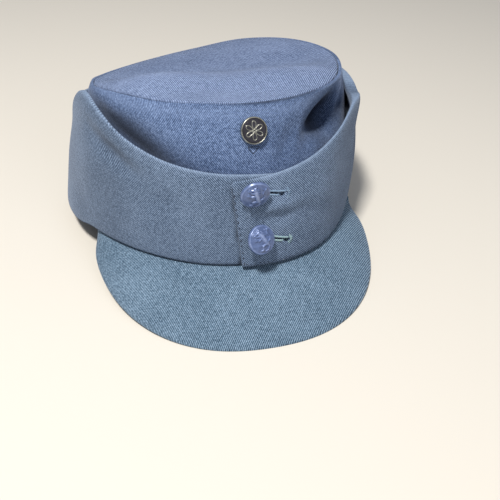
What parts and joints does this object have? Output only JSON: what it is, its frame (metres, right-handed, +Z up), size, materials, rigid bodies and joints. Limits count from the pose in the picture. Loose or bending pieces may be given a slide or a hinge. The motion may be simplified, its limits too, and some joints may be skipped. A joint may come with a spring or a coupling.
{
  "type": "field cap",
  "caption": "Soft wool field cap with an oval crown, a turned-up curtain buttoned at the front, a cloth-covered peak, painted shank buttons and a round enamelled badge.",
  "frame": {"origin": "On the surface the cap stands on, under the middle of its box.", "axes": "-Y is where the peak points, +X is the right of the cap seen from the front, +Z is up. The cap leans back a little, as it rests on the peak's edge and the back of its bottom edge."},
  "size_m": [0.1974, 0.2586, 0.1121],
  "materials": {
    "crown_serge": "blue-grey wool twill, slightly brushed",
    "curtain_serge": "blue-grey wool twill, a little greyer",
    "peak_serge": "blue-grey wool twill over a stiff board",
    "button_paint": "periwinkle-blue paint on pressed metal, satin",
    "badge_silver": "silvered, lightly worn",
    "badge_enamel": "dark glossy enamel",
    "pin_steel": "plain steel"
  },
  "bodies": {
    "root": {"crown_wall": "crown_serge", "crown_top": "crown_serge", "curtain": "curtain_serge", "peak": "peak_serge", "button_upper": "button_paint", "button_lower": "button_paint", "badge": "badge_silver", "badge_enamel": "badge_enamel", "badge_pin": "pin_steel"}
  },
  "joints": []
}
